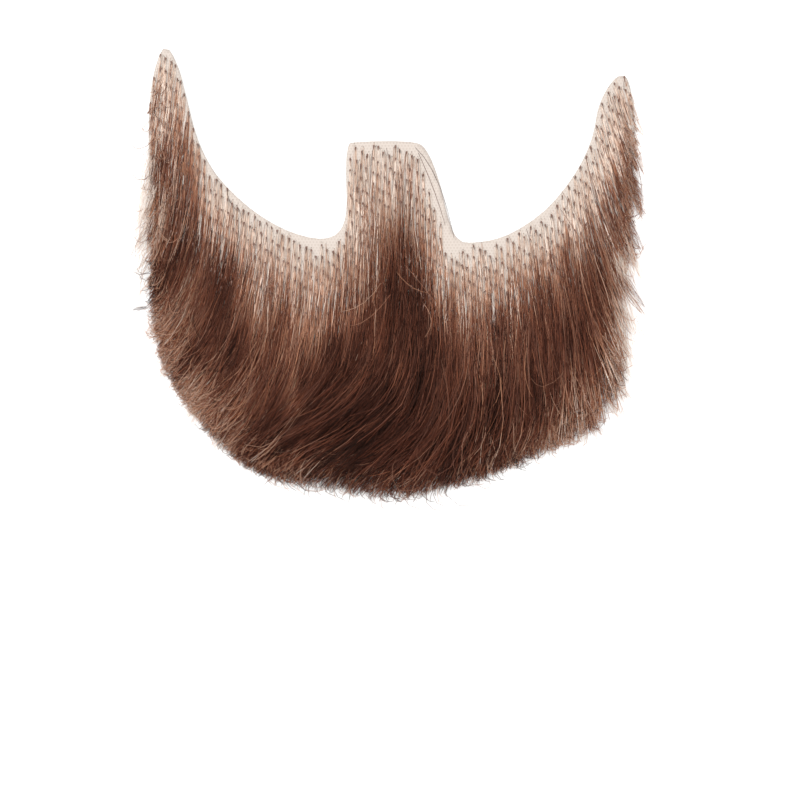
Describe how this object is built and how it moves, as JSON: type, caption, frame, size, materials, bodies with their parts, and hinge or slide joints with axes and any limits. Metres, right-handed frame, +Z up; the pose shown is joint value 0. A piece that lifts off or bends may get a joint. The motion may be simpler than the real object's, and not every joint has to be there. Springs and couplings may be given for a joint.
{
  "type": "fake beard",
  "caption": "Full false beard with sideburns and soul patch, dark brown hair knotted into a pale net base, lying flat with its hair side up",
  "frame": {"origin": "middle of the bounding box in plan, on the surface that the beard lies on", "axes": "+X to the right of the beard as seen from its hair side, +Y towards the tips of the sideburns, +Z up out of the hair"},
  "size_m": [0.1552, 0.1354, 0.0087],
  "materials": {
    "net": "sheer",
    "hair": "satin"
  },
  "bodies": {
    "root": {"net_base": "net", "hair_sideburn_left": "hair", "hair_jaw_left": "hair", "hair_soul_patch": "hair", "hair_chin": "hair", "hair_jaw_right": "hair", "hair_sideburn_right": "hair"}
  },
  "joints": []
}
